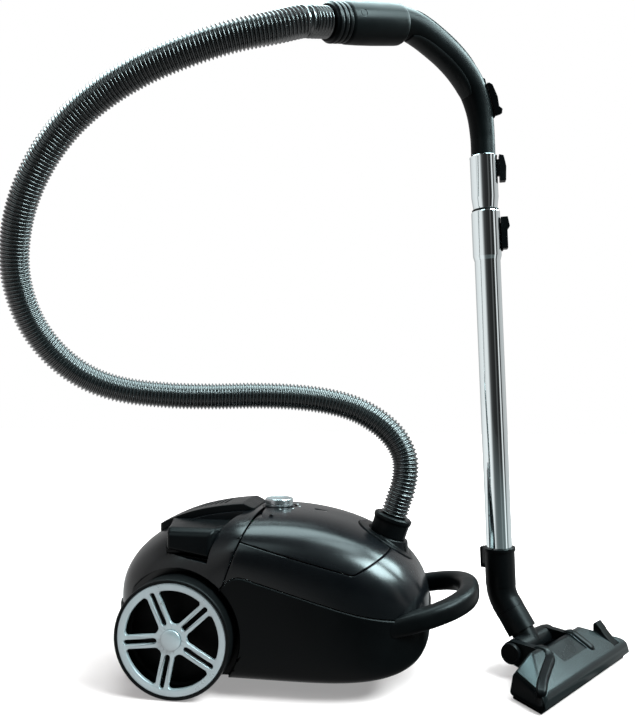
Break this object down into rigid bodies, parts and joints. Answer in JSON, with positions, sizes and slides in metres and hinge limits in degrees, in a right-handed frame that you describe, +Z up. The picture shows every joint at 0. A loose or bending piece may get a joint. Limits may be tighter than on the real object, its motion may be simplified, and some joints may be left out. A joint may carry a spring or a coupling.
{
  "type": "canister vacuum cleaner",
  "caption": "Canister vacuum cleaner: rolling body with spoked wheels and carry loop, ribbed hose, curved handle, telescopic chrome wand and tilting floor nozzle.",
  "frame": {"origin": "middle of the footprint at floor level, measured without the free hose", "axes": "+X towards the canister's front, +Y to its left, +Z up"},
  "size_m": [0.8185, 0.3462, 0.8833],
  "materials": {
    "tub_black": "matte",
    "hood_grey": "satin",
    "trim_black": "satin",
    "silver": "satin",
    "tyre_black": "matte",
    "wheel_dark": "matte",
    "hose_grey": "satin",
    "handle_black": "satin",
    "grip_rubber": "matte",
    "grip_grey": "satin",
    "chrome_tube": "polished",
    "cover_metallic": "metallic",
    "window_dark": "gloss",
    "steel": "brushed",
    "motor_metal": "satin",
    "stator_core": "matte",
    "inner_plastic": "matte",
    "board_green": "matte",
    "filter_white": "matte",
    "bag_paper": "matte",
    "bristle": "matte"
  },
  "bodies": {
    "canister": {"chassis_tub": "tub_black", "front_hood": "hood_grey", "rear_cover": "hood_grey", "carry_loop": "tub_black", "inlet_collar": "hood_grey", "exhaust_grille": "trim_black", "exhaust_filter": "filter_white", "bulkhead": "inner_plastic", "motor_filter": "filter_white", "motor_housing": "motor_metal", "motor_stator": "stator_core", "reel_axle": "steel", "control_board": "board_green", "knob_dish": "trim_black", "pedal_bushes": "inner_plastic", "cord_gland": "trim_black", "dust_bag": "bag_paper", "bag_plate": "bag_paper", "lid_hinge_pins": "steel", "wheel_axles": "steel", "caster_bush": "inner_plastic"},
    "motor_rotor": {"motor_shaft": "steel", "fan_impeller": "motor_metal"},
    "reel_drum": {"cord_reel": "inner_plastic"},
    "knob": {"power_knob": "silver"},
    "right_pedal": {"pedal_power": "trim_black"},
    "left_pedal": {"pedal_rewind": "trim_black"},
    "bag_lid": {"lid": "hood_grey", "lid_window": "window_dark"},
    "left_wheel": {"wheel_left_tyre": "tyre_black", "wheel_left_rim": "silver", "wheel_left_disc": "wheel_dark", "wheel_left_cap": "silver"},
    "right_wheel": {"wheel_right_tyre": "tyre_black", "wheel_right_rim": "silver", "wheel_right_disc": "wheel_dark", "wheel_right_cap": "silver"},
    "caster": {"caster_fork": "trim_black"},
    "caster_roller": {"caster_wheel": "wheel_dark"},
    "hose": {"hose_cuff": "trim_black", "suction_hose": "hose_grey", "hose_end_collar": "trim_black"},
    "handle": {"handle_barrel": "handle_black", "handle_grip": "handle_black", "grip_top_insert": "grip_rubber", "grip_lower_insert": "grip_grey", "handle_spigot": "handle_black", "upper_tube": "chrome_tube"},
    "air_slider": {"suction_slider": "trim_black"},
    "release_button": {"tube_button": "trim_black"},
    "lower_wand": {"lower_tube": "chrome_tube", "elbow": "tub_black"},
    "lock": {"lock_slider": "trim_black"},
    "neck": {"swivel_neck": "tub_black"},
    "nozzle": {"pivot_caps": "tub_black", "nozzle_body": "tub_black", "nozzle_cover": "cover_metallic", "sole_plate": "tub_black"},
    "rocker": {"rocker_pedal": "trim_black"},
    "brushes": {"brush_strips": "bristle"}
  },
  "joints": [
    {"name": "wheel_left_spin", "type": "hinge", "parent": "canister", "child": "left_wheel", "pos_m": [-0.247, 0.118, 0.075], "axis": [0, 1, 0], "continuous": true},
    {"name": "wheel_right_spin", "type": "hinge", "parent": "canister", "child": "right_wheel", "pos_m": [-0.247, -0.118, 0.075], "axis": [0, 1, 0], "continuous": true},
    {"name": "caster_swivel", "type": "hinge", "parent": "canister", "child": "caster", "pos_m": [-0.025, 0, 0.055], "axis": [0, 0, 1], "continuous": true},
    {"name": "caster_roll", "type": "hinge", "parent": "caster", "child": "caster_roller", "pos_m": [-0.038, 0, 0.022], "axis": [0, 1, 0], "continuous": true},
    {"name": "lid_hinge", "type": "hinge", "parent": "canister", "child": "bag_lid", "pos_m": [-0.16989, 0, 0.213], "axis": [0, -1, 0], "range_deg": [0, 46]},
    {"name": "knob_turn", "type": "hinge", "parent": "canister", "child": "knob", "pos_m": [-0.139, 0, 0.223], "axis": [0, 0, 1], "range_deg": [0, 270]},
    {"name": "pedal_power_press", "type": "slide", "parent": "canister", "child": "right_pedal", "axis": [0, 0, -1], "range_m": [0, 0.004], "stiffness_N_per_m": 1500, "springref_m": -0.005},
    {"name": "pedal_rewind_press", "type": "slide", "parent": "canister", "child": "left_pedal", "axis": [0, 0, -1], "range_m": [0, 0.004], "stiffness_N_per_m": 1500, "springref_m": -0.005},
    {"name": "fan_spin", "type": "hinge", "parent": "canister", "child": "motor_rotor", "pos_m": [-0.187, -0.03, 0.106], "axis": [1, 0, 0], "continuous": true},
    {"name": "reel_spin", "type": "hinge", "parent": "canister", "child": "reel_drum", "pos_m": [-0.255, 0.06, 0.086], "axis": [0, 1, 0], "continuous": true},
    {"name": "hose_swivel", "type": "hinge", "parent": "canister", "child": "hose", "pos_m": [0.01, 0, 0.18428], "axis": [0.309, 0, 0.9511], "range_deg": [-15, 15]},
    {"name": "handle_swivel", "type": "hinge", "parent": "hose", "child": "handle", "pos_m": [-0.03756, -0.10039, 0.83645], "axis": [-0.6794, -0.689, -0.2524], "range_deg": [-15, 2]},
    {"name": "suction_slide", "type": "slide", "parent": "handle", "child": "air_slider", "axis": [-0.2868, -0.2495, 0.9249], "range_m": [0, 0.008]},
    {"name": "release_press", "type": "slide", "parent": "handle", "child": "release_button", "axis": [-0.9992, 0, -0.0401], "range_m": [0, 0.002], "stiffness_N_per_m": 800, "springref_m": -0.001},
    {"name": "telescope_slide", "type": "slide", "parent": "handle", "child": "lower_wand", "axis": [0.0401, 0, -0.9992], "range_m": [0, 0.32]},
    {"name": "lock_slide", "type": "slide", "parent": "lower_wand", "child": "lock", "axis": [-0.0401, 0, 0.9992], "range_m": [0, 0.006], "stiffness_N_per_m": 600, "springref_m": -0.002},
    {"name": "neck_swivel", "type": "hinge", "parent": "lower_wand", "child": "neck", "pos_m": [0.204, 0.05, 0.033], "axis": [0.4873, -0.3287, -0.809], "range_deg": [-20, 20]},
    {"name": "nozzle_tilt", "type": "hinge", "parent": "neck", "child": "nozzle", "pos_m": [0.204, 0.05, 0.033], "axis": [0.5592, 0.829, 0], "range_deg": [-25, 12]},
    {"name": "rocker_press", "type": "hinge", "parent": "nozzle", "child": "rocker", "pos_m": [0.31961, 0.09264, 0.018], "axis": [-0.5592, -0.829, 0], "range_deg": [0, 8]},
    {"name": "brush_drop", "type": "slide", "parent": "nozzle", "child": "brushes", "axis": [0, 0, -1], "range_m": [0, 0.004]}
  ],
  "couplings": [
    {"joint": "brush_drop", "follows": "rocker_press", "m_per_rad": 0.028648}
  ]
}
